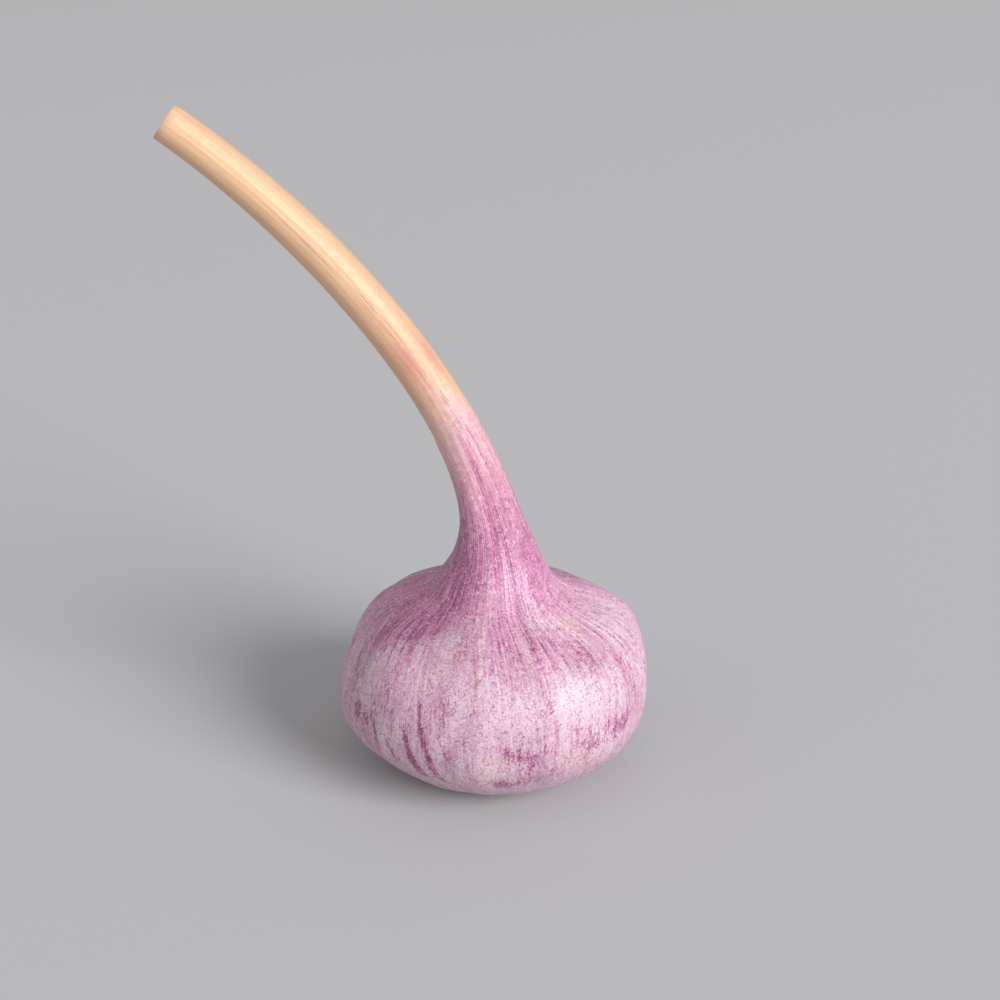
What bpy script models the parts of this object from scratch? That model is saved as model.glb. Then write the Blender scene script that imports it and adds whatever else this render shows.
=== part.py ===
"""A purple-skinned garlic bulb with its dried stem still on.

Units are metres and +Z is up. The origin is on the bulb's axis, in the plane that the bulb
stands on. The stem bends over towards -X.

The bulb, its neck and its stem grew as one piece and are one closed solid: a ring of points is
carried out of the hollow under the bulb, round the cloves, up the neck and along the bent stem
to its cut end. The root plate, with the stubs of its trimmed roots, is the other solid. It sits
in the hollow, and its flat middle is level with the rim that the bulb stands on.
"""

import math
import random
from typing import NamedTuple

import bmesh
import bpy
from mathutils import Matrix, Vector

MM = 0.001

# The hollow that holds the root plate, as (radius, height) from its roof to the standing rim.
HOLLOW = [
    (4.5 * MM, 3.1 * MM),
    (8.0 * MM, 3.0 * MM),
    (8.4 * MM, 2.6 * MM),
    (8.5 * MM, 1.3 * MM),
    (9.4 * MM, 0.55 * MM),
    (10.8 * MM, 0.15 * MM),
    (12.6 * MM, 0.0),
]

# The skin round the cloves, as (radius, height, shift towards +X), from the outer edge of the
# standing rim to the foot of the neck. It is fullest low down on the stem's side.
BULB_RADIUS = 29.8 * MM
BULB_OUTLINE = [
    (15.0 * MM, 0.0, 0.1 * MM),
    (20.3 * MM, 2.5 * MM, -0.1 * MM),
    (24.0 * MM, 5.1 * MM, -0.1 * MM),
    (26.9 * MM, 7.6 * MM, -0.3 * MM),
    (28.9 * MM, 10.3 * MM, -0.6 * MM),
    (BULB_RADIUS, 14.4 * MM, -0.4 * MM),
    (29.4 * MM, 19.6 * MM, 0.3 * MM),
    (27.9 * MM, 24.7 * MM, 0.8 * MM),
    (25.5 * MM, 28.7 * MM, 1.0 * MM),
    (22.4 * MM, 31.5 * MM, 0.9 * MM),
    (18.6 * MM, 33.4 * MM, 0.7 * MM),
    (15.2 * MM, 34.7 * MM, 0.45 * MM),
    (12.5 * MM, 36.2 * MM, 0.25 * MM),
]
BULB_RINGS = 30

# The cloves, and the foot of the neck, lean a little away from the side the stem bends to.
LEAN = math.radians(2.1)
LEAN_RISE = 10.0 * MM

# The stem's middle line, as (x, z) of a Bezier curve that leaves the neck along that lean.
STEM_FOOT = (0.2 * MM, 39.6 * MM)
STEM_FOOT_HANDLE = 28.6 * MM
STEM_TIP_HANDLE = (-28.9 * MM, 104.7 * MM)
STEM_TIP = (-56.7 * MM, 124.8 * MM)
# Its radius, as (share of the curve, radius).
STEM_OUTLINE = [
    (0.0, 10.15 * MM),
    (0.06, 7.6 * MM),
    (0.13, 5.65 * MM),
    (0.22, 4.7 * MM),
    (0.34, 4.28 * MM),
    (0.5, 4.12 * MM),
    (0.7, 3.9 * MM),
    (0.88, 3.58 * MM),
    (1.0, 3.45 * MM),
]
STEM_RINGS = 22

# The cut end: the sheath's rim, a groove inside it, and the core with its soft middle,
# as (radius, depth below the cut).
CUT_END = [
    (3.05 * MM, 0.0),
    (2.9 * MM, 0.4 * MM),
    (2.6 * MM, 0.4 * MM),
    (2.45 * MM, 0.05 * MM),
    (1.0 * MM, 0.15 * MM),
    (0.7 * MM, 0.9 * MM),
]

# Cloves push the skin out in soft lobes, deepest on the shoulder, and the skin's veins stand up
# as fine ribs, highest on the neck.
CLOVES = 10
CLOVE_TURN = 0.1
CLOVE_DEPTH = 1.15 * MM
CLOVE_SOFTNESS = 0.32
RIBS = 21
RIB_HEIGHT = 0.14 * MM
NECK_RIB_HEIGHT = 0.22 * MM
POINTS_AROUND = 84

PLATE_RADIUS = 8.0 * MM
PLATE_TOP = 2.6 * MM
PLATE_RIM = 1.9 * MM
PLATE_SEGMENTS = 40
SCAR_RADIUS = 3.2 * MM
ROOTS = 30
ROOT_RADIUS = 0.5 * MM
ROOT_SIDES = 7
ROOT_SUNK = 0.7 * MM
ROOT_TIPS = (0.25 * MM, 0.75 * MM)
ROOT_SPLAY = math.radians(16.0)
GOLDEN_ANGLE = math.pi * (3 - math.sqrt(5))


class Ring(NamedTuple):
    """One turn of the skin: its centre, how far it tips towards -X, its radius, and how much of
    the cloves' and the ribs' relief it carries."""

    centre: Vector
    tip: float
    radius: float
    cloves: float
    ribs: float


def smooth_step(value):
    """0 below 0, 1 above 1, and an S-curve between."""
    value = min(max(value, 0.0), 1.0)
    return value * value * (3 - 2 * value)


def blend(table, place):
    """The value at a place in a table of (place, value) rows, by a smooth curve through them."""
    last = len(table) - 2
    row = next((i for i in range(last) if place < table[i + 1][0]), last)
    before, (start, low), (end, high) = table[max(row - 1, 0)], table[row], table[row + 1]
    after = table[min(row + 2, last + 1)]
    span = end - start
    rise_in = (high - before[1]) / (end - before[0]) * span
    rise_out = (after[1] - low) / (after[0] - start) * span
    t = (place - start) / span
    return (
        low * (1 + 2 * t) * (1 - t) ** 2
        + rise_in * t * (1 - t) ** 2
        + high * t * t * (3 - 2 * t)
        + rise_out * t * t * (t - 1)
    )


def along_outline(outline, count):
    """Evenly spaced rows on a smooth curve through an outline's (radius, height, shift) rows."""
    lengths = [0.0]
    for (r0, z0, _), (r1, z1, _) in zip(outline, outline[1:]):
        lengths.append(lengths[-1] + math.hypot(r1 - r0, z1 - z0))
    columns = [list(zip(lengths, column)) for column in zip(*outline)]
    places = [lengths[-1] * i / (count - 1) for i in range(count)]
    return [[blend(column, place) for column in columns] for place in places]


def clove_relief(angle):
    """How far the skin stands in from the cloves' crests at an angle round the bulb."""
    turned = angle - CLOVE_TURN + 0.07 * math.sin(4 * angle + 0.52)
    swell = math.hypot(CLOVE_SOFTNESS, math.sin(CLOVES * turned / 2))
    fullness = 0.85 + 0.15 * math.sin(3 * angle + 2.0)
    return fullness * (swell / math.hypot(1, CLOVE_SOFTNESS) - 1)


def rib_relief(angle):
    """How far the veins stand out at an angle round the bulb, from -1 to 1."""
    strength = 0.65 + 0.35 * math.sin(4 * angle + 1.3)
    return strength * math.sin(RIBS * angle + 0.9 * math.sin(5 * angle))


def hollow_rings():
    """The rings of the hollow under the bulb, from its roof to the standing rim."""
    return [Ring(Vector((0, 0, height)), 0, radius, 0, 0) for radius, height in HOLLOW]


def bulb_rings():
    """The rings from the standing rim, round the cloves, to the foot of the neck."""
    rings = []
    for radius, height, shift in along_outline(BULB_OUTLINE, BULB_RINGS):
        below = 0.5 * smooth_step(height / (12 * MM))
        shoulder = smooth_step((height - 14 * MM) / (16 * MM))
        to_neck = smooth_step((height - 32.5 * MM) / (6 * MM))
        cloves = CLOVE_DEPTH * max(below, shoulder) * (1 - 0.8 * to_neck)
        ribs = RIB_HEIGHT * smooth_step(height / (4 * MM))
        tip = -LEAN * smooth_step(height / LEAN_RISE)
        rings.append(Ring(Vector((shift, 0, height)), tip, radius, cloves, ribs))
    return rings


def stem_point(share):
    """The stem's middle line at a share of its length, and how far it tips towards -X there."""
    foot = Vector((STEM_FOOT[0], 0, STEM_FOOT[1]))
    foot_handle = foot + STEM_FOOT_HANDLE * Vector((math.sin(LEAN), 0, math.cos(LEAN)))
    tip_handle = Vector((STEM_TIP_HANDLE[0], 0, STEM_TIP_HANDLE[1]))
    tip = Vector((STEM_TIP[0], 0, STEM_TIP[1]))
    back = 1 - share
    point = (
        back**3 * foot
        + 3 * back * back * share * foot_handle
        + 3 * back * share * share * tip_handle
        + share**3 * tip
    )
    run = (
        back * back * (foot_handle - foot)
        + 2 * back * share * (tip_handle - foot_handle)
        + share * share * (tip - tip_handle)
    )
    return point, math.atan2(-run.x, run.z)


def stem_rings():
    """The rings from the foot of the neck to the cut end, closer together in the neck."""
    rings = []
    for i in range(STEM_RINGS):
        share = (i / (STEM_RINGS - 1)) ** 1.35
        centre, tip = stem_point(share)
        cloves = 0.15 * CLOVE_DEPTH * (1 - smooth_step(share / 0.15))
        ribs = NECK_RIB_HEIGHT * (1 - 0.75 * smooth_step(share / 0.5))
        rings.append(Ring(centre, tip, blend(STEM_OUTLINE, share), cloves, ribs))
    return rings


def cut_rings():
    """The rings of the stem's cut end, from its rim to its soft middle."""
    centre, tip = stem_point(1.0)
    along = Vector((-math.sin(tip), 0, math.cos(tip)))
    return [Ring(centre - depth * along, tip, radius, 0, 0) for radius, depth in CUT_END]


def ring_points(ring):
    """The points of one ring, in place."""
    turn = Matrix.Rotation(-ring.tip, 3, "Y")
    points = []
    for i in range(POINTS_AROUND):
        angle = math.tau * i / POINTS_AROUND
        radius = ring.radius + ring.cloves * clove_relief(angle) + ring.ribs * rib_relief(angle)
        flat = Vector((radius * math.cos(angle), radius * math.sin(angle), 0))
        points.append(ring.centre + turn @ flat)
    return points


def skin_mesh(rings):
    """One closed mesh that passes through the rings, from the hollow's roof to the cut end."""
    bm = bmesh.new()
    around = bm.verts.layers.int.new("around")
    bmesh.ops.create_circle(bm, cap_ends=True, segments=POINTS_AROUND, radius=rings[0].radius)
    bm.verts.ensure_lookup_table()
    for i, vert in enumerate(bm.verts):
        vert[around] = i
    loop = bm.edges[:]
    ring_verts = bm.verts[:]
    for ring in rings:
        if ring is not rings[0]:
            made = bmesh.ops.extrude_edge_only(bm, edges=loop)["geom"]
            ring_verts = [item for item in made if isinstance(item, bmesh.types.BMVert)]
            loop = [item for item in made if isinstance(item, bmesh.types.BMEdge)]
        points = ring_points(ring)
        for vert in ring_verts:
            vert.co = points[vert[around]]
    bmesh.ops.contextual_create(bm, geom=loop)
    bmesh.ops.recalc_face_normals(bm, faces=bm.faces[:])
    mesh = bpy.data.meshes.new("bulb_and_stem")
    bm.to_mesh(mesh)
    bm.free()
    return mesh


def plate_mesh():
    """The root plate without its roots: a disc that swells downwards to a flat, bare middle."""
    outline = [
        (0, PLATE_TOP),
        (PLATE_RADIUS - 0.5 * MM, PLATE_TOP),
        (PLATE_RADIUS, PLATE_TOP - 0.4 * MM),
        (PLATE_RADIUS - 0.3 * MM, PLATE_RIM),
        (0.75 * PLATE_RADIUS, 1.35 * MM),
        (SCAR_RADIUS + 0.9 * MM, 0.55 * MM),
        (SCAR_RADIUS + 0.2 * MM, 0.1 * MM),
        (SCAR_RADIUS, 0),
    ]
    bm = bmesh.new()
    verts = [bm.verts.new((radius, 0, height)) for radius, height in outline]
    edges = [bm.edges.new(pair) for pair in zip(verts, verts[1:])]
    bmesh.ops.spin(
        bm,
        geom=verts + edges,
        axis=(0, 0, 1),
        cent=(0, 0, 0),
        angle=math.tau,
        steps=PLATE_SEGMENTS,
        use_merge=True,
    )
    bmesh.ops.remove_doubles(bm, verts=bm.verts[:], dist=0.001 * MM)
    scar = [edge for edge in bm.edges if edge.is_boundary]
    bmesh.ops.contextual_create(bm, geom=scar)
    bmesh.ops.recalc_face_normals(bm, faces=bm.faces[:])
    mesh = bpy.data.meshes.new("root_plate")
    bm.to_mesh(mesh)
    bm.free()
    return mesh


def root_stub(index, chance):
    """One trimmed root, which narrows and splays out from the plate, as an object of its own."""
    inner = SCAR_RADIUS + 1.0 * MM
    outer = PLATE_RADIUS - 1.3 * MM
    reach = inner + (outer - inner) * math.sqrt((index + 0.5) / ROOTS)
    angle = index * GOLDEN_ANGLE + chance.uniform(-0.1, 0.1)
    end = chance.uniform(*ROOT_TIPS)
    top = 1.5 * MM + ROOT_SUNK
    splay = ROOT_SPLAY * reach / PLATE_RADIUS
    length = (top - end) / math.cos(splay)
    bm = bmesh.new()
    bmesh.ops.create_cone(
        bm,
        cap_ends=True,
        segments=ROOT_SIDES,
        radius1=ROOT_RADIUS * 0.75,
        radius2=ROOT_RADIUS * chance.uniform(1.0, 1.3),
        depth=length,
    )
    bmesh.ops.translate(bm, verts=bm.verts[:], vec=(0, 0, -length / 2))
    bmesh.ops.rotate(
        bm,
        verts=bm.verts[:],
        cent=(0, 0, 0),
        matrix=Matrix.Rotation(angle, 3, "Z") @ Matrix.Rotation(-splay, 3, "Y"),
    )
    spot = Vector((reach * math.cos(angle), reach * math.sin(angle), top))
    bmesh.ops.translate(bm, verts=bm.verts[:], vec=spot)
    mesh = bpy.data.meshes.new("root_stub")
    bm.to_mesh(mesh)
    bm.free()
    return bpy.data.objects.new("root_stub", mesh)


def fuse_roots(plate):
    """Joins the trimmed roots to the root plate in one solid."""
    stubs = bpy.data.collections.new("root_stubs")
    bpy.context.scene.collection.children.link(stubs)
    chance = random.Random(7)
    for index in range(ROOTS):
        stubs.objects.link(root_stub(index, chance))
    union = plate.modifiers.new("roots", "BOOLEAN")
    union.operation = "UNION"
    union.solver = "EXACT"
    union.operand_type = "COLLECTION"
    union.collection = stubs
    bpy.context.view_layer.update()
    graph = bpy.context.evaluated_depsgraph_get()
    plate.data = bpy.data.meshes.new_from_object(plate.evaluated_get(graph))
    plate.modifiers.clear()
    for stub in list(stubs.objects):
        bpy.data.objects.remove(stub)
    bpy.data.collections.remove(stubs)


def material(name, colour, roughness):
    """A plain finish."""
    made = bpy.data.materials.new(name)
    made.use_nodes = True
    shader = made.node_tree.nodes["Principled BSDF"]
    shader.inputs["Base Color"].default_value = (*colour, 1)
    shader.inputs["Roughness"].default_value = roughness
    shader.inputs["Metallic"].default_value = 0
    return made


def place(name, mesh, finish):
    """An object in the scene with its finish."""
    obj = bpy.data.objects.new(name, mesh)
    bpy.context.scene.collection.objects.link(obj)
    mesh.materials.append(finish)
    return obj


def main():
    for obj in list(bpy.data.objects):
        bpy.data.objects.remove(obj)
    rings = hollow_rings() + bulb_rings() + stem_rings() + cut_rings()
    skin = place(
        "bulb_and_stem",
        skin_mesh(rings),
        material("purple_garlic_skin", (0.64, 0.42, 0.56), 0.55),
    )
    plate = place("root_plate", plate_mesh(), material("dry_root", (0.36, 0.26, 0.17), 0.85))
    fuse_roots(plate)
    for obj in (skin, plate):
        obj.data.shade_smooth()
        obj.data.set_sharp_from_angle(angle=math.radians(40))


main()
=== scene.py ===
"""Dresses a purple-skinned garlic bulb that stands on its root end with its dried stem still on.

Units are metres and +Z is up. The origin is on the bulb's axis, in the plane that it stands on,
and the stem bends over towards -X. Azimuths are in degrees from the front (-Y), positive towards
+X, and the path is the distance along the skin from the standing rim towards the cut end.
"""

from __future__ import annotations

import logging
import math
import random
from dataclasses import dataclass
from enum import Enum

import bmesh
import bpy
import numpy as np
from mathutils import Matrix, Vector, noise


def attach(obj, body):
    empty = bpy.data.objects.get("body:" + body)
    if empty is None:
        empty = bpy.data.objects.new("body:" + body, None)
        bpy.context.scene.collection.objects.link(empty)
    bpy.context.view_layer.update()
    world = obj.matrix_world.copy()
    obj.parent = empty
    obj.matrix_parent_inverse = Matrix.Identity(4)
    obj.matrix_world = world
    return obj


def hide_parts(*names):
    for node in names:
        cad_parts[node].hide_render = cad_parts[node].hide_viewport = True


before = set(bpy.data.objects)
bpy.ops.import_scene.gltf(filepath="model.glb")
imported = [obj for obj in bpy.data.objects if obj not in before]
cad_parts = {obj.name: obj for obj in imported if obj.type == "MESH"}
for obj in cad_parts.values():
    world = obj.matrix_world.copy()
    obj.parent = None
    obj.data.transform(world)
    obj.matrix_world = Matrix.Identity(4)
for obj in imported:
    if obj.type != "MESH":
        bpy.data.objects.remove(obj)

LOG = logging.getLogger("garlic")
ROOT_BODY = "root"
MM = 0.001

Colour = tuple[float, float, float]
Table = list[tuple[float, ...]]


def smooth_step(value: np.ndarray | float) -> np.ndarray | float:
    """0 below 0, 1 above 1, and an S-curve between."""
    value = np.clip(value, 0.0, 1.0)
    return value * value * (3 - 2 * value)


def blend(table: Table, place: float) -> float:
    """Reads a smooth curve through a table's rows.

    Args:
        table: Rows of (place, value), in order of place.
        place: Where to read the curve.

    Returns:
        The value there.
    """
    last = len(table) - 2
    row = next((i for i in range(last) if place < table[i + 1][0]), last)
    before, (start, low), (end, high) = table[max(row - 1, 0)], table[row], table[row + 1]
    after = table[min(row + 2, last + 1)]
    span = end - start
    rise_in = (high - before[1]) / (end - before[0]) * span
    rise_out = (after[1] - low) / (after[0] - start) * span
    t = (place - start) / span
    return (
        low * (1 + 2 * t) * (1 - t) ** 2
        + rise_in * t * (1 - t) ** 2
        + high * t * t * (3 - 2 * t)
        + rise_out * t * t * (t - 1)
    )


def noise_field(vectors: np.ndarray) -> np.ndarray:
    """Smooth noise from about -1 to 1.

    Args:
        vectors: An array of places, three numbers each, in its last axis.

    Returns:
        The noise at each place, in the shape of the other axes.
    """
    flat = vectors.reshape(-1, 3).tolist()
    return np.array([noise.noise(place) for place in flat]).reshape(vectors.shape[:-1])


def add_object(name: str, data: bpy.types.ID) -> bpy.types.Object:
    """Adds an object that shows the data to the scene."""
    made = bpy.data.objects.new(name, data)
    bpy.context.scene.collection.objects.link(made)
    return made


class Kind(Enum):
    """What a shader socket carries."""

    NUMBER = "ShaderNodeMath"
    VECTOR = "ShaderNodeVectorMath"
    COLOUR = "ShaderNodeMix"


class Flow:
    """A shader socket that can be used in Python expressions, which add the nodes for them."""

    def __init__(self, graph: Graph, socket: bpy.types.NodeSocket, kind: Kind) -> None:
        """Wraps a socket of a graph's node."""
        self.graph = graph
        self.socket = socket
        self.kind = kind

    def _join(self, operation: str, *values: Flow | float | Colour) -> Flow:
        """Adds the Math or Vector Math node for one operation on the values."""
        node = self.graph.node(self.kind.value, {"operation": operation}, dict(enumerate(values)))
        return Flow(self.graph, node.outputs[0], self.kind)

    def __add__(self, other: Flow | float | Colour) -> Flow:
        """This plus another."""
        return self._join("ADD", self, other)

    def __radd__(self, other: Flow | float | Colour) -> Flow:
        """Another plus this."""
        return self._join("ADD", other, self)

    def __sub__(self, other: Flow | float | Colour) -> Flow:
        """This less another."""
        return self._join("SUBTRACT", self, other)

    def __rsub__(self, other: Flow | float | Colour) -> Flow:
        """Another less this."""
        return self._join("SUBTRACT", other, self)

    def __mul__(self, other: Flow | float | Colour) -> Flow:
        """This times another."""
        return self._join("MULTIPLY", self, other)

    def __rmul__(self, other: Flow | float | Colour) -> Flow:
        """Another times this."""
        return self._join("MULTIPLY", other, self)

    def step(self, low: float, high: float) -> Flow:
        """A soft mask of a number.

        Args:
            low: Where the mask is 0.
            high: Where it is 1. It may be below low, which turns the mask over.

        Returns:
            The mask, with an S-curve between the two.
        """
        settings = {"interpolation_type": "SMOOTHSTEP"}
        sockets = {"Value": self, "From Min": low, "From Max": high}
        node = self.graph.node("ShaderNodeMapRange", settings, sockets)
        return Flow(self.graph, node.outputs["Result"], Kind.NUMBER)

    def mixed(self, other: Flow | Colour, amount: Flow | float, way: str = "MIX") -> Flow:
        """This colour with another laid over it.

        Args:
            other: The colour laid over.
            amount: How much of it, from 0 to 1.
            way: The Mix node's blend type.

        Returns:
            The mixed colour.
        """
        if isinstance(other, tuple):
            other = (*other, 1.0)
        settings = {"data_type": "RGBA", "blend_type": way}
        node = self.graph.node(Kind.COLOUR.value, settings, {0: amount, 6: self, 7: other})
        return Flow(self.graph, node.outputs[2], Kind.COLOUR)


class Graph:
    """The node tree of one material."""

    def __init__(self, name: str) -> None:
        """Makes the material and finds its shader."""
        self.material = bpy.data.materials.new(name)
        self.material.use_nodes = True
        self.tree = self.material.node_tree
        self.shader = self.tree.nodes["Principled BSDF"]

    def feed(self, socket: bpy.types.NodeSocket, value: Flow | float | tuple) -> None:
        """Links a flow to a socket, or sets the socket's own value."""
        if isinstance(value, Flow):
            self.tree.links.new(value.socket, socket)
        else:
            socket.default_value = value

    def node(self, kind: str, settings: dict, sockets: dict) -> bpy.types.Node:
        """Adds one node.

        Args:
            kind: The node's type.
            settings: Its own settings. "stops" holds a colour ramp's (place, colour) rows.
            sockets: A value or a flow for each input, by its name or number.

        Returns:
            The node.
        """
        made = self.tree.nodes.new(kind)
        for name, value in settings.items():
            if name == "stops":
                self._set_stops(made.color_ramp, value)
            else:
                setattr(made, name, value)
        for name, value in sockets.items():
            self.feed(made.inputs[name], value)
        return made

    def _set_stops(self, ramp: bpy.types.ColorRamp, stops: list[tuple[float, Colour]]) -> None:
        """Gives a colour ramp its stops."""
        while len(ramp.elements) < len(stops):
            ramp.elements.new(0.5)
        for element, (place, colour) in zip(ramp.elements, stops):
            element.position = place
            element.color = (*colour, 1.0)

    def attribute(self, name: str, kind: Kind = Kind.NUMBER) -> Flow:
        """Reads what a piece's mesh stores for each point."""
        output = "Vector" if kind is Kind.VECTOR else "Fac"
        node = self.node("ShaderNodeAttribute", {"attribute_name": name}, {})
        return Flow(self, node.outputs[output], kind)

    def place(self) -> Flow:
        """The place on the object, in metres."""
        node = self.node("ShaderNodeTexCoord", {}, {})
        return Flow(self, node.outputs["Object"], Kind.VECTOR)

    def vector(self, x: Flow | float, y: Flow | float, z: Flow | float) -> Flow:
        """A vector of three numbers."""
        node = self.node("ShaderNodeCombineXYZ", {}, {"X": x, "Y": y, "Z": z})
        return Flow(self, node.outputs[0], Kind.VECTOR)

    def cloud(self, where: Flow, scale: float = 1.0, detail: float = 2.0, **sockets) -> Flow:
        """Noise about 0.5.

        Args:
            where: The places it is read at.
            scale: How many of its features fit in one unit.
            detail: How many finer layers it has.
            **sockets: Other inputs of the Noise Texture, such as Roughness.

        Returns:
            The noise.
        """
        inputs = {"Vector": where, "Scale": scale, "Detail": detail, **sockets}
        node = self.node("ShaderNodeTexNoise", {}, inputs)
        return Flow(self, node.outputs[0], Kind.NUMBER)

    def ramp(self, amount: Flow, stops: list[tuple[float, Colour]]) -> Flow:
        """The colour at an amount along a colour ramp."""
        node = self.node("ShaderNodeValToRGB", {"stops": stops}, {"Fac": amount})
        return Flow(self, node.outputs["Color"], Kind.COLOUR)

    def bump(self, height: Flow, strength: float, depth: float, under: Flow | None = None) -> Flow:
        """A surface that stands out by a height.

        Args:
            height: The height, from 0 to 1.
            strength: How much of it shows.
            depth: How far 1 stands out, in metres.
            under: A bumped surface to add it to.

        Returns:
            The bumped surface's normal.
        """
        sockets = {"Strength": strength, "Distance": depth, "Height": height}
        if under is not None:
            sockets["Normal"] = under
        node = self.node("ShaderNodeBump", {}, sockets)
        return Flow(self, node.outputs["Normal"], Kind.VECTOR)

    def finish(self, colour: Flow, roughness: Flow | float, normal: Flow) -> bpy.types.Material:
        """Feeds the shader and returns the material."""
        self.feed(self.shader.inputs["Base Color"], colour)
        self.feed(self.shader.inputs["Roughness"], roughness)
        self.feed(self.shader.inputs["Normal"], normal)
        return self.material


class Mark(Enum):
    """What the skin stores for each of its points, for its finish to read."""

    AROUND = "around"
    PATH = "path_mm"
    BLUSH = "blush"
    STRIPES = "stripes"
    CREAM = "cream"
    STRAW = "straw"
    FLUSH = "flush"
    CRACKS = "cracks"
    STROKES = "strokes"
    # Painted light and shade, with some tone: lightens or darkens the skin's colour.
    PAINTED_LIGHT_AND_TONE = "shade"
    CUT = "cut"


@dataclass(frozen=True)
class Patch:
    """A soft-edged patch of the skin.

    Its middle is at an azimuth and a path. It spreads by so many degrees around the bulb, reaches
    so many millimetres along the path, and slants by so many degrees for each millimetre.
    """

    azimuth: float
    path: float
    spread: float
    reach: float
    amount: float
    slant: float = 0.0

    def over(self, azimuths: np.ndarray, paths: np.ndarray) -> np.ndarray:
        """The patch's strength at each azimuth and path."""
        along = paths - self.path
        turn = (azimuths - self.azimuth - self.slant * along + 180) % 360 - 180
        return self.amount * np.exp(-0.5 * ((turn / self.spread) ** 2 + (along / self.reach) ** 2))


def patches(*rows: tuple[float, ...]) -> tuple[Patch, ...]:
    """Makes a patch of each row, whose numbers are in the order of the patch's fields."""
    return tuple(Patch(*row) for row in rows)


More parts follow.
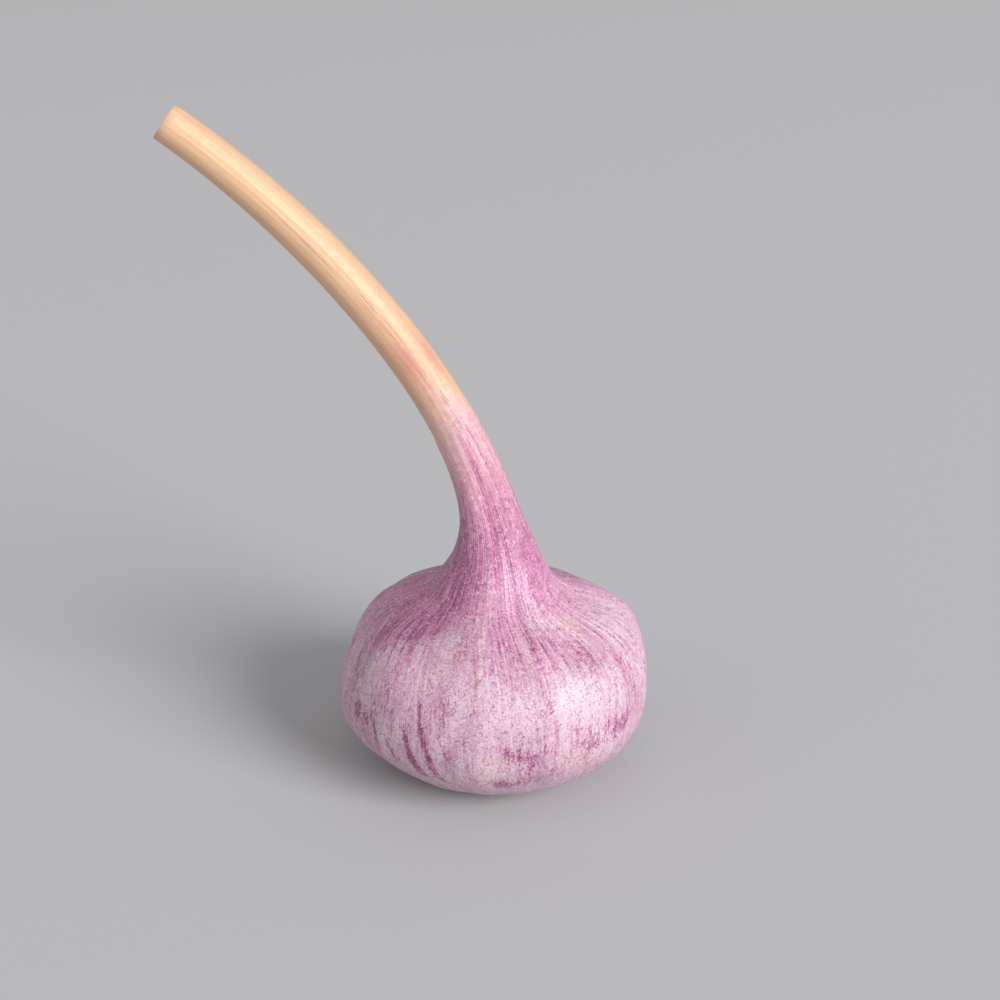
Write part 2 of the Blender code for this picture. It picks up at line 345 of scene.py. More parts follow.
@dataclass(frozen=True)
class SkinFinish:
    """Dry, papery garlic skin: pale, with a purple blush, streaks, veins and specks, and with
    painted light and shade laid into its colour.
    """

    name: str = "garlic_skin"
    pinks: tuple[tuple[float, Colour], ...] = (
        (0.0, (0.64, 0.49, 0.57)),
        (0.25, (0.55, 0.345, 0.45)),
        (0.5, (0.50, 0.22, 0.355)),
        (0.75, (0.365, 0.115, 0.235)),
        (1.0, (0.20, 0.055, 0.13)),
    )
    creams: tuple[tuple[float, Colour], ...] = (
        (0.0, (0.66, 0.53, 0.50)),
        (0.25, (0.585, 0.42, 0.415)),
        (0.5, (0.50, 0.29, 0.34)),
        (0.75, (0.36, 0.155, 0.22)),
        (1.0, (0.20, 0.07, 0.13)),
    )
    roses: tuple[tuple[float, Colour], ...] = (
        (0.0, (0.68, 0.51, 0.45)),
        (0.25, (0.64, 0.40, 0.41)),
        (0.5, (0.57, 0.265, 0.36)),
        (0.75, (0.42, 0.155, 0.24)),
        (1.0, (0.24, 0.06, 0.12)),
    )
    flake: Colour = (0.70, 0.57, 0.64)
    straw: Colour = (0.655, 0.41, 0.238)
    straw_pale: Colour = (0.69, 0.478, 0.281)
    straw_pink: Colour = (0.63, 0.36, 0.252)
    # Painted shade and painted light: the colours that the painted light and tone mark mixes
    # towards, near black to darken and 2 to brighten by multiplying.
    darkening_tone_and_painted_shade: Colour = (0.04, 0.03, 0.035)
    brightening_tone_and_painted_light: Colour = (2.0, 2.0, 2.0)
    flush: Colour = (0.58, 0.235, 0.20)
    speck: Colour = (0.20, 0.085, 0.15)
    crack: Colour = (0.20, 0.10, 0.10)
    cut: Colour = (0.52, 0.35, 0.20)
    pith: Colour = (0.33, 0.20, 0.11)

    def build(self) -> bpy.types.Material:
        """Makes the material."""
        graph = Graph(self.name)
        around = graph.attribute(Mark.AROUND.value, Kind.VECTOR)
        path = graph.attribute(Mark.PATH.value)
        blush = graph.attribute(Mark.BLUSH.value)
        stripes = graph.attribute(Mark.STRIPES.value)
        cream = graph.attribute(Mark.CREAM.value)
        straw = graph.attribute(Mark.STRAW.value)
        flush = graph.attribute(Mark.FLUSH.value)
        cracks = graph.attribute(Mark.CRACKS.value)
        strokes = graph.attribute(Mark.STROKES.value)
        shade = graph.attribute(Mark.PAINTED_LIGHT_AND_TONE.value)
        cut = graph.attribute(Mark.CUT.value)
        place = graph.place() * (1 / MM, 1 / MM, 1 / MM)

        def streaks(turns: float, rate: float, detail: float = 2.0, along: Flow = path) -> Flow:
            """Noise drawn out along the skin: turns sets how narrow, and rate how short."""
            where = around * (turns, turns, 0.0) + graph.vector(0.0, 0.0, along * rate)
            return graph.cloud(where, 1.0, detail)

        def threads(noise: Flow, width: float) -> Flow:
            """Fine lines where a noise crosses its middle."""
            off = noise - 0.5
            return (off * off).step(width * width, width * width * 0.1)

        broad = streaks(5.0, 0.04)
        wide = streaks(13.0, 0.08)
        thin = streaks(33.0, 0.11, along=path + (broad - 0.5) * 30)
        hair = streaks(72.0, 0.5)
        grain = graph.cloud(place, 2.47, 2.0, Roughness=0.7, Lacunarity=2.17)
        mottle = graph.cloud(place, 0.75, 3.0, Roughness=0.6)

        strand = streaks(24.0, 0.035, 0.0)
        neck = path.step(44.0, 58.0)
        rosy = (path + (broad - 0.5) * 20 + (thin - 0.5) * 12).step(60.0, 80.0)
        bands = (wide - 0.5) * 0.5 + (thin - 0.5) * (stripes * 0.4 + 0.4) + (hair - 0.5) * 0.35
        bands = bands * (1 - neck * 0.4 + rosy * 0.5)
        dapple = (grain - 0.5) * (1.5 - rosy * 0.9) + (mottle - 0.5) * 0.6 + (broad - 0.5) * 0.4
        lines = threads(strand, 0.06) * 0.26 - threads(strand + 0.11, 0.05) * 0.14
        lines = lines * stripes * (mottle.step(0.36, 0.56) * 0.7 + 0.3)
        flecks = thin.step(0.54, 0.68) * mottle.step(0.38, 0.6) * stripes
        stroke = (strokes + (hair - 0.5) * 0.9 + (grain - 0.5) * 1.0).step(0.3, 0.95)
        patchy = graph.cloud(place, 0.28, 1.0).step(0.36, 0.62)
        dapple = dapple * (1.22 - blush * 0.6) * (patchy * 0.5 + 0.75)
        pigment = blush + bands * (0.5 + blush) + dapple + lines + flecks * 0.15 + stroke * 0.5
        creamy = (cream + (mottle - 0.5) * 1.2 + (broad - 0.5) * 0.6).step(0.0, 1.0)
        skin = graph.ramp(pigment, list(self.pinks))
        skin = skin.mixed(graph.ramp(pigment, list(self.creams)), creamy)
        skin = skin.mixed(graph.ramp(pigment, list(self.roses)), rosy)
        flakes = graph.cloud(place * (1.0, 1.0, 0.6) + (9.0, 0.0, 0.0), 1.9, 1.0).step(0.37, 0.27)
        skin = skin.mixed(self.flake, flakes * 0.5)

        fibres = streaks(9.0, 0.045)
        fine_fibres = streaks(26.0, 0.11)
        drift = streaks(6.0, 0.12)
        stem = graph.ramp(
            fibres * 0.35 + fine_fibres * 0.2 + drift * 0.45,
            [(0.32, self.straw_pink), (0.49, self.straw), (0.66, self.straw_pale)],
        )
        dry = straw + ((fine_fibres - 0.5) * 0.6 + (fibres - 0.5) * 0.5) * (straw * (1 - straw) * 4)
        colour = skin.mixed(stem, dry.step(0.0, 1.0))
        flushed = (flush + (fine_fibres - 0.5) * 1.3 + (mottle - 0.5) * 0.8).step(0.25, 0.9)
        colour = colour.mixed(self.flush, flushed * 0.7)

        specks = graph.cloud(place * (1.0, 1.0, 0.65), 3.0, 0.0).step(0.63, 0.75)
        specks = specks * (mottle.step(0.42, 0.62) * 0.7 + 0.3) * (1 - rosy * 0.75)
        colour = colour.mixed(self.speck, specks * (0.78 - straw * 0.7))
        split = streaks(24.0, 0.09, 1.0).step(0.53, 0.60) * hair.step(0.38, 0.52) * cracks
        colour = colour.mixed(self.crack, split * 0.75)
        # Painted light and shade, with some tone: darkens the colour where the mark is below 0 and
        # brightens it where it is above.
        colour = colour.mixed(self.darkening_tone_and_painted_shade, 0.0 - shade)
        colour = colour.mixed(self.brightening_tone_and_painted_light, shade, "MULTIPLY")
        end = graph.ramp(grain * 0.6 + mottle * 0.4, [(0.40, self.pith), (0.53, self.cut)])
        colour = colour.mixed(end, cut)

        roughness = (grain - 0.5) * 0.25 + 0.49
        smooth = 1 - straw * 0.8
        folds = graph.bump((bands * 0.5 + 0.5) * smooth, 0.35, 0.22 * MM)
        pores = graph.bump((grain * 0.6 + hair * 0.4) * smooth, 0.35, 0.12 * MM, folds)
        graph.shader.inputs["Specular IOR Level"].default_value = 0.45
        return graph.finish(colour, roughness, pores)


@dataclass(frozen=True)
class RootFinish:
    """Dry brown root tissue, corky and fibrous."""

    name: str = "garlic_root"
    dark: Colour = (0.16, 0.10, 0.06)
    mid: Colour = (0.36, 0.25, 0.15)
    pale: Colour = (0.58, 0.46, 0.32)

    def build(self) -> bpy.types.Material:
        """Makes the material."""
        graph = Graph(self.name)
        place = graph.place() * (1 / MM, 1 / MM, 1 / MM)
        cork = graph.cloud(place, 1.1, 4.0, Roughness=0.6)
        fibre = graph.cloud(place * (1.0, 1.0, 0.25), 4.0, 2.0)
        colour = graph.ramp(
            cork * 0.65 + fibre * 0.35,
            [(0.36, self.dark), (0.5, self.mid), (0.66, self.pale)],
        )
        roughness = (cork - 0.5) * 0.3 + 0.82
        normal = graph.bump(cork * 0.5 + fibre * 0.5, 0.6, 0.25 * MM)
        return graph.finish(colour, roughness, normal)


@dataclass
class Rings:
    """The rings that the skin passes through, one number for each ring in every array."""

    x: np.ndarray
    z: np.ndarray
    tip: np.ndarray
    radius: np.ndarray
    path: np.ndarray
    cloves: np.ndarray
    ribs: np.ndarray
    veins: np.ndarray
    cut: np.ndarray


@dataclass
class GarlicSkin:
    """The skin of the bulb, neck and stem in one closed piece, with its sizes in metres."""

    name: str = "garlic_skin"
    node: str = "bulb_and_stem"
    slot: str = "purple_garlic_skin"
    points_around: int = 440
    bulb_rings: int = 104
    stem_rings: int = 92
    stem_ring_growth: float = 1.35
    lean: float = math.radians(2.1)
    lean_rise: float = 10.0 * MM
    clove_count: int = 10
    clove_turn: float = 0.1
    clove_depth: float = 1.15 * MM
    clove_softness: float = 0.32
    rib_count: int = 21
    rib_height: float = 0.14 * MM
    neck_rib_height: float = 0.08 * MM
    vein_count: int = 92
    vein_height: float = 0.07 * MM
    vein_noise: tuple[float, float, float] = (9.0, 9.0, 0.06)
    wrinkle_height: float = 0.16 * MM
    wrinkle_noise: tuple[float, float, float] = (4.2, 4.2, 0.10)
    fine_wrinkle_share: float = 0.4
    fine_wrinkle_noise: tuple[float, float, float] = (13.0, 13.0, 0.22)
    fine_wrinkle_shift: float = 7.0
    sheath_thickness: float = 0.14 * MM
    sheath_start: float = 52
    sheath_fade: float = 20
    sheath_softness: float = 0.9
    veil_inside: float = 0.09
    veil_outside: float = -0.09
    veil_softness: float = 0.9

    def __post_init__(self) -> None:
        """Sets the outlines, which are tables."""
        self.hollow: Table = [
            (4.5, 3.1), (8.0, 3.0), (8.4, 2.6), (8.5, 1.3), (9.4, 0.55), (10.8, 0.15), (12.6, 0.0),
        ]
        self.outline: Table = [
            (15.0, 0.0, 0.1), (20.3, 2.5, -0.1), (24.0, 5.1, -0.1), (26.9, 7.6, -0.3),
            (28.85, 10.3, -0.6), (29.7, 14.4, -0.4), (29.3, 19.6, 0.3), (27.95, 24.7, 0.85),
            (25.55, 28.7, 1.05), (22.4, 31.45, 0.9), (18.6, 33.3, 0.7), (15.2, 34.6, 0.45),
            (12.5, 36.1, 0.25),
        ]
        self.stem_foot = Vector((0.2, 0, 39.6))
        self.stem_foot_handle = 28.6
        self.stem_tip_handle = Vector((-28.9, 0, 104.7))
        self.stem_tip = Vector((-56.7, 0, 124.8))
        self.stem_outline: Table = [
            (0.0, 10.15), (0.06, 7.6), (0.13, 5.65), (0.22, 4.7), (0.34, 4.28), (0.5, 4.12),
            (0.7, 3.9), (0.88, 3.58), (1.0, 3.45),
        ]
        self.cut_end: Table = [
            (3.40, -0.04), (3.2, -0.02), (3.05, 0.0), (2.98, 0.25), (2.9, 0.4), (2.6, 0.4),
            (2.5, 0.2), (2.45, 0.05), (2.2, 0.0), (1.7, 0.1), (1.0, 0.15), (0.8, 0.5),
            (0.7, 0.9), (0.3, 1.0),
        ]

    def clove_relief(self, angle: np.ndarray) -> np.ndarray:
        """How far the skin stands in from the cloves' crests at each angle, from -1 to 0."""
        turned = angle - self.clove_turn + 0.07 * np.sin(4 * angle + 0.52)
        swell = np.hypot(self.clove_softness, np.sin(self.clove_count * turned / 2))
        fullness = 0.85 + 0.15 * np.sin(3 * angle + 2.0)
        return fullness * (swell / math.hypot(1, self.clove_softness) - 1)

    def rib_relief(self, angle: np.ndarray) -> np.ndarray:
        """How far the pleats stand out at each angle, from -1 to 1."""
        strength = 0.65 + 0.35 * np.sin(4 * angle + 1.3)
        return strength * np.sin(self.rib_count * angle + 0.9 * np.sin(5 * angle))

    def stem_point(self, share: float) -> tuple[Vector, float]:
        """Finds a place on the stem's middle line.

        Args:
            share: How far up the stem, from 0 to 1.

        Returns:
            The place in millimetres, and how far the stem tips towards -X there.
        """
        foot, tip, tip_handle = self.stem_foot, self.stem_tip, self.stem_tip_handle
        rise = Vector((math.sin(self.lean), 0, math.cos(self.lean)))
        foot_handle = foot + self.stem_foot_handle * rise
        back = 1 - share
        point = (
            back**3 * foot
            + 3 * back * back * share * foot_handle
            + 3 * back * share * share * tip_handle
            + share**3 * tip
        )
        run = (
            back * back * (foot_handle - foot)
            + 2 * back * share * (tip_handle - foot_handle)
            + share * share * (tip - tip_handle)
        )
        return point, math.atan2(-run.x, run.z)

    def rings(self) -> Rings:
        """Lays out every ring, from the roof of the root hollow to the middle of the cut end."""
        rows: list[list[float]] = []
        for radius, height in self.hollow:
            rows.append([0.0, height, 0.0, radius, -(15.0 - radius), 0.0, 0.0, 0.0, 0.0])
        lengths = [0.0]
        for (r0, z0, _), (r1, z1, _) in zip(self.outline, self.outline[1:]):
            lengths.append(lengths[-1] + math.hypot(r1 - r0, z1 - z0))
        columns = [list(zip(lengths, column)) for column in zip(*self.outline)]
        for i in range(self.bulb_rings):
            place = lengths[-1] * i / (self.bulb_rings - 1)
            radius, height, shift = (blend(column, place) for column in columns)
            below = 0.5 * smooth_step(height / 12)
            shoulder = smooth_step((height - 14) / 16)
            cloves = max(below, shoulder) * (1 - 0.8 * smooth_step((height - 32.5) / 6))
            tip = -self.lean * smooth_step(height * MM / self.lean_rise)
            fade = 1 - 0.4 * smooth_step((height - 28) / 8)
            ribs = self.rib_height * smooth_step(height / 4) * fade
            veins = smooth_step(height / 6)
            rows.append([shift, height, tip, radius, place, cloves, ribs, veins, 0.0])
        path = lengths[-1]
        last = Vector((rows[-1][0], 0, rows[-1][1]))
        for i in range(self.stem_rings):
            share = (i / (self.stem_rings - 1)) ** self.stem_ring_growth
            centre, tip = self.stem_point(share)
            path += (centre - last).length
            last = centre
            radius = blend(self.stem_outline, share)
            cloves = 0.15 * (1 - smooth_step(share / 0.15))
            ribs = self.neck_rib_height * (1 - 0.85 * smooth_step(share / 0.4))
            veins = 1 - 0.85 * smooth_step(share / 0.4)
            rows.append([centre.x, centre.z, tip, radius, path, cloves, ribs, veins, 0.0])
        centre, tip = self.stem_point(1.0)
        along = Vector((-math.sin(tip), 0, math.cos(tip)))
        for radius, depth in self.cut_end:
            spot = centre - depth * along
            rows.append([spot.x, spot.z, tip, radius, path + 1, 0.0, 0.0, 0.0, 1.0])
        table = np.array(rows).T
        table[[0, 1, 3]] *= MM
        return Rings(*table)

    def points(self, rings: Rings, angle: np.ndarray) -> np.ndarray:
        """Works out where every point of every ring is, with the skin's relief."""
        ray = np.stack([np.cos(angle), np.sin(angle)], axis=-1)
        path = rings.path[:, None]
        where = np.empty((len(rings.path), len(angle), 3))
        where[..., :2] = ray
        where[..., 2] = path
        azimuth = np.degrees(angle) + 90
        relief = self.clove_depth * rings.cloves[:, None] * self.clove_relief(angle)
        relief = relief + rings.ribs[:, None] * self.rib_relief(angle)
        come_and_go = np.clip(0.5 + 0.8 * noise_field(where * self.vein_noise), 0, 1)
        wave = self.vein_count * angle + 1.3 * np.sin(7 * angle) + 0.05 * path
        ridge = (0.5 + 0.5 * np.cos(wave)) ** 2.5
        relief = relief + self.vein_height * rings.veins[:, None] * ridge * come_and_go
        size = np.clip(rings.radius[:, None] / (30 * MM), 0.15, 1) * (1 - rings.cut[:, None])
        relief = relief + self.wrinkle_height * size * noise_field(where * self.wrinkle_noise)
        finer = noise_field(where * self.fine_wrinkle_noise + self.fine_wrinkle_shift)
        relief = relief + self.fine_wrinkle_share * self.wrinkle_height * size * finer
        relief = relief + MM * sum(swell.over(azimuth, path) for swell in SWELLS)
        edge = self.sheath_edge(azimuth)
        inside = smooth_step((edge - path) / self.sheath_softness)
        over = inside * smooth_step((path - self.sheath_start) / self.sheath_fade)
        relief = relief + self.sheath_thickness * over
        floor = np.where(rings.path < 1.0, 0.0, 1.0)[:, None]
        radius = rings.radius[:, None] + relief * floor
        sideways = radius * ray[:, 0]
        x = rings.x[:, None] + sideways * np.cos(rings.tip)[:, None]
        z = rings.z[:, None] + sideways * np.sin(rings.tip)[:, None]
        return np.stack([x, radius * ray[:, 1], z], axis=-1)

    def sheath_edge(self, azimuth: np.ndarray) -> np.ndarray:
        """The path at which the outer sheath of the stem ends, for each azimuth."""
        turn = np.radians(azimuth)
        return 87 + 3 * np.sin(turn) + 1.5 * np.sin(3 * turn + 0.6) + 0.8 * np.sin(8 * turn)

    def marks(self, rings: Rings, angle: np.ndarray) -> dict[Mark, np.ndarray]:
        """Works out what each point stores for the finish."""
        azimuth = ((np.degrees(angle) + 90 + 180) % 360 - 180)[None, :]
        path = rings.path[:, None]
        whole = np.ones((len(rings.path), len(angle)))
        twist = 0.6 * np.clip(path - 36, -30, 14) * (0.5 - 0.5 * np.sin(np.radians(azimuth)))
        bent = np.radians(azimuth + twist)
        blush = np.interp(path, *zip(*BLUSH_UP_THE_SKIN)) * whole
        for patch in BLUSH_PATCHES:
            blush = blush + patch.over(azimuth, path)
        blush = blush + self.veil(azimuth, path)
        spread = {
            Mark.STRIPES: (STRIPE_PATCHES, 0.12, 0.0),
            Mark.CREAM: (CREAM_PATCHES, 0.15 + 0.4 * (1 - smooth_step((path - 2) / 16)), 0.0),
            Mark.FLUSH: (FLUSH_PATCHES, 0.30 * np.exp(-(((path - 101) / 11) ** 2)), 0.0),
            Mark.CRACKS: (CRACK_PATCHES, 0.0, 0.0),
            Mark.STROKES: (STROKES + hidden_strokes(), 0.0, 0.0),
            # Painted light and shade, with some tone, a little darker all over.
            Mark.PAINTED_LIGHT_AND_TONE: (PAINTED_LIGHT_AND_TONE_PATCHES, -0.025, -1.0),
        }
        start, end = (np.interp(azimuth, *zip(*rows)) for rows in (STRAW_STARTS, STRAW_ENDS))
        marks = {
            Mark.AROUND: np.stack([np.cos(bent), np.sin(bent), 0 * bent], axis=-1),
            Mark.PATH: path * whole,
            Mark.BLUSH: np.clip(blush, 0, 1.2),
            Mark.STRAW: smooth_step((path - start) / (end - start)),
            Mark.CUT: rings.cut[:, None] * whole,
        }
        for mark, (spots, base, lowest) in spread.items():
            total = base + sum(spot.over(azimuth, path) for spot in spots)
            marks[mark] = np.clip(total * whole, lowest, 1.5)
        return marks

    def veil(self, azimuth: np.ndarray, path: np.ndarray) -> np.ndarray:
        """The blush that the shoulder's outermost skin adds inside its edge, and takes outside."""
        inside = path - np.interp(azimuth, *zip(*VEIL_EDGE))
        reach = smooth_step((azimuth + 84) / 14) * smooth_step((-27 - azimuth) / 6)
        edge = inside / self.veil_softness
        covered = smooth_step(edge + 0.5) * np.exp(-np.clip(inside, 0, 99) / 6)
        bare = smooth_step(0.5 - edge) * np.exp(-np.clip(-inside, 0, 99) / 2)
        return reach * (self.veil_inside * covered + self.veil_outside * bare)

    def build(self) -> bpy.types.Object:
        """Carries a ring of points from the root hollow to the cut end, and closes both ends."""
        rings = self.rings()
        angle = np.arange(self.points_around) * (math.tau / self.points_around)
        points = self.points(rings, angle)
        places = points.tolist()
        bm = bmesh.new()
        spoke = bm.verts.layers.int.new("spoke")
        turn = bm.verts.layers.int.new("turn")
        bmesh.ops.create_circle(bm, cap_ends=True, segments=self.points_around, radius=MM)
        bm.verts.ensure_lookup_table()
        for i, vert in enumerate(bm.verts):
            vert[spoke] = i
        ring_verts, loop = bm.verts[:], bm.edges[:]
        for number, row in enumerate(places):
            if number:
                made = bmesh.ops.extrude_edge_only(bm, edges=loop)["geom"]
                ring_verts = [item for item in made if isinstance(item, bmesh.types.BMVert)]
                loop = [item for item in made if isinstance(item, bmesh.types.BMEdge)]
            for vert in ring_verts:
                vert[turn] = number
                vert.co = row[vert[spoke]]
        bmesh.ops.contextual_create(bm, geom=loop)
        bmesh.ops.recalc_face_normals(bm, faces=bm.faces[:])
        mesh = bpy.data.meshes.new(self.name)
        bm.to_mesh(mesh)
        bm.free()
        self.store(mesh, self.marks(rings, angle))
        mesh.shade_smooth()
        return add_object(self.name, mesh)

    def store(self, mesh: bpy.types.Mesh, marks: dict[Mark, np.ndarray]) -> None:
        """Writes the marks on the mesh's points.

        Args:
            mesh: The skin's mesh, whose points know their ring and their place in it.
            marks: What each point of each ring stores.
        """
        count = len(mesh.vertices)
        spoke, turn = np.zeros(count, np.int32), np.zeros(count, np.int32)
        mesh.attributes["spoke"].data.foreach_get("value", spoke)
        mesh.attributes["turn"].data.foreach_get("value", turn)
        for mark, values in marks.items():
            picked = values[turn, spoke].astype(np.float32)
            wide = picked.ndim > 1
            kind = "FLOAT_VECTOR" if wide else "FLOAT"
            layer = mesh.attributes.new(mark.value, kind, "POINT")
            layer.data.foreach_set("vector" if wide else "value", picked.ravel())
        mesh.attributes.remove(mesh.attributes["spoke"])
        mesh.attributes.remove(mesh.attributes["turn"])

    def dress(self, piece: bpy.types.Object, finish: bpy.types.Material) -> None:
        """Gives the skin its finish and lets it stand for the solid bulb and stem."""
        piece.data.materials.append(finish)
        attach(piece, ROOT_BODY)
        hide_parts(self.node)


BLUSH_UP_THE_SKIN = (
    (0, 0.14), (14, 0.17), (18, 0.20), (23, 0.25), (34, 0.26), (40, 0.32), (46, 0.38), (51, 0.43),
    (56, 0.51), (62, 0.59), (68, 0.55), (72, 0.51), (77, 0.44), (81, 0.32), (86, 0.27), (92, 0.22),
)
SWELLS = patches(
    # Millimetres that the shoulders stand out.
    (-110, 39, 13, 4.5, 0.85),
    (104, 38, 19, 5, 1.05),
    (-40, 35, 8, 5, 0.15),
    (-150, 45, 14, 4, -0.25),
    (150, 45, 14, 4, -0.25),
)
VEIL_EDGE = (
    # The path at which the outermost skin of the shoulder ends, for each azimuth.
    (-90, 34), (-58, 36.5), (-48, 41.5), (-41, 43.5), (-35.5, 46), (-33, 51), (-28, 56),
)
STRAW_STARTS = (
    # The path at which the skin starts to turn to straw, for each azimuth.
    (-180, 70), (-90, 70), (-40, 72), (-10, 78), (20, 84), (72, 85), (90, 84), (180, 70),
)
STRAW_ENDS = (
    # The path at which it is all straw.
    (-180, 108), (-40, 107), (20, 106), (45, 101), (72, 93), (90, 95), (180, 108),
)
BLUSH_PATCHES = patches(
    # The shoulders and the foot of the neck.
    (-82, 45, 22, 6.5, 0.26),
    (-51, 46, 8, 4, 0.20, 1.0),
    (-42, 42.5, 5, 2, 0.08),
    (-38, 46.5, 4, 1.8, 0.10),
    (-37, 55, 10, 4, 0.17),
    (-62, 60, 24, 6, 0.10),
    (-74, 40, 6, 4, -0.08),
    (-3, 56, 6, 4, -0.08),
    (4, 66, 14, 4, 0.12),
    (23, 56, 11, 4, -0.10),
    (22, 62, 8, 5, 0.12),
    (19.5, 49, 2, 4, 0.14),
    (56, 58, 14, 6, 0.10),
    (8, 47, 8, 4.5, 0.12, 0.6),
    (42, 49, 9, 3, -0.26),
    (49, 50, 4, 2.2, 0.14),
    (37, 43, 12, 2.4, 0.05, -1.5),
    (46, 42, 5, 2, -0.10),
    (76, 43, 13, 6, -0.14),
    (80, 42, 14, 4, -0.09),
    (-59, 47, 5, 2, 0.08),
    (27, 44, 6, 2, 0.12),
    (19.4, 56.5, 2.5, 2, -0.06),
    (51.5, 45, 2.5, 1.5, 0.07),
    (56, 43, 5, 2, 0.12),
    (66, 42, 10, 2, -0.06),
    (-27, 45, 5, 3, -0.14),
    (-9, 46.5, 1.1, 2.8, -0.22),
    (-6.5, 48, 1.2, 3, 0.08),
    (-18, 44, 3, 2.5, 0.09),
    (-10.5, 41.5, 1, 2.5, 0.12),
    (8, 49, 4, 2, 0.08),
    (-40, 45.5, 3, 1.5, 0.08),
    (15.5, 42.5, 1, 4.5, -0.13, -0.5),
    (21, 50, 2, 4.5, 0.10),
    (79, 44, 4, 1.2, 0.18),
    (-90, 41, 6, 4, -0.07),
    (98, 44, 8, 4, -0.08),
    # The belly.
    (35, 34, 12, 3.5, -0.12),
    (-40, 35.5, 7, 3.5, 0.12),
    (-43, 29.5, 1.6, 2.5, 0.12),
    (-58, 33, 3.5, 6, -0.15),
    (-61, 27, 3, 3, -0.12),
    (-68, 33, 2.5, 5, 0.12),
    (-79, 28, 4, 6, -0.18),
    (3, 34.5, 7, 3.5, -0.15),
    (9, 29, 4, 5, -0.16),
    (-14, 32.5, 2.5, 3, -0.13),
    (-16, 26.5, 1.8, 2.8, -0.18),
    (-20.5, 24, 2, 4, -0.16),
    (-29, 27, 2, 4, -0.08),
    (-47, 23, 2.5, 3.5, -0.10),
    (-28, 23, 1.8, 3.5, 0.09),
    (-19.5, 22.5, 1, 3.5, -0.08),
    (18, 36, 1.8, 6, 0.12),
    (16, 35, 1.6, 3.5, 0.20),
    (47, 31, 6.5, 3.5, -0.20),
    (60, 33, 2.5, 5, 0.10),
    (64, 27, 5, 6, 0.06),
    (-24, 32.5, 3.2, 4.5, 0.24),
    (-20, 29, 1.2, 3.5, 0.15),
    (-22, 38.5, 3, 3, -0.09),
    (-19, 33, 1.5, 1.6, -0.14),
    (-11.5, 38, 1.2, 5, 0.12),
    (-41.5, 27.5, 1.2, 2.5, 0.14),
    (-43.5, 24, 1.3, 3, -0.19),
    (-35.5, 29, 2, 3, -0.12),
    (-31.5, 25, 1.1, 3, 0.13),
    (-53, 20.5, 1.6, 2.2, 0.16),
    (5, 38, 5, 2, 0.08),
    (-24, 43, 5, 3.5, -0.07),
    (-16, 18.6, 3, 1.5, -0.08),
    (-15, 33.5, 2, 2, -0.10),
    (-14.5, 21.5, 1.5, 1.5, 0.08),
    (-20, 24, 1.5, 1.5, -0.10),
    (-37, 25, 1, 2.5, -0.10),
    (-50, 35, 1.6, 3, -0.10),
    (-65, 34, 2.5, 5, 0.10),
    (-19, 17.5, 2.5, 1.4, -0.10),
    (-6, 27, 1.2, 2, -0.08),
    (10, 29, 1.3, 2, -0.10),
    (16.5, 35, 2.5, 2.5, 0.10),
    (10.5, 34.5, 1, 3, 0.12),
    (19.5, 31, 1, 2, 0.16),
    (16.2, 30.3, 1, 2.5, -0.13),
    (18.6, 25.5, 1, 2.5, 0.08),
    (5, 25.5, 4.5, 2, 0.10),
    (12, 18.3, 9, 1.2, 0.09),
    (35.5, 25, 0.9, 2.5, 0.12),
    (43, 32, 2.5, 2.5, -0.08),
    (17.5, 38.8, 1.2, 1.2, -0.12),
    (62, 38.5, 10, 2.5, 0.07),
    (60, 34.5, 2, 2.5, 0.06),
    (76, 33.5, 3, 2, -0.12),
    (54, 23.5, 3, 2, 0.10),
    (-57, 22, 3, 3, 0.12),
    (-50, 18, 4, 1.5, 0.16),
    (18, 20, 5, 3, 0.14),
    (25, 32.5, 7, 2.5, -0.14),
    (35, 31, 2, 4, -0.10),
    (52, 34, 3, 4, -0.08),
    (37, 36.5, 3, 2, 0.08),
    (74, 36, 4, 3, 0.10),
    (48, 25, 3.5, 2.5, 0.10),
    (46.5, 22.8, 3, 1.6, -0.08),
    (64, 20, 4, 3, 0.10),
    (37, 22, 2.5, 1.5, 0.12),
    (36.5, 24.6, 2, 1.5, -0.07),
    (-9, 40.5, 1.2, 2.5, 0.14),
    (-13.5, 35.5, 1.5, 2, 0.12),
    # The neck.
    (12, 77, 6, 7, 0.27),
    (48, 80, 22, 6, 0.14),
    (68, 76, 10, 5, -0.12),
    (-12, 70, 12, 4, -0.08),
    # The back.
    (150, 46, 34, 6, 0.16),
    (-135, 44, 22, 6, 0.14),
    (-115, 33, 10, 4, -0.10),
    (172, 33, 12, 4, -0.10),
)
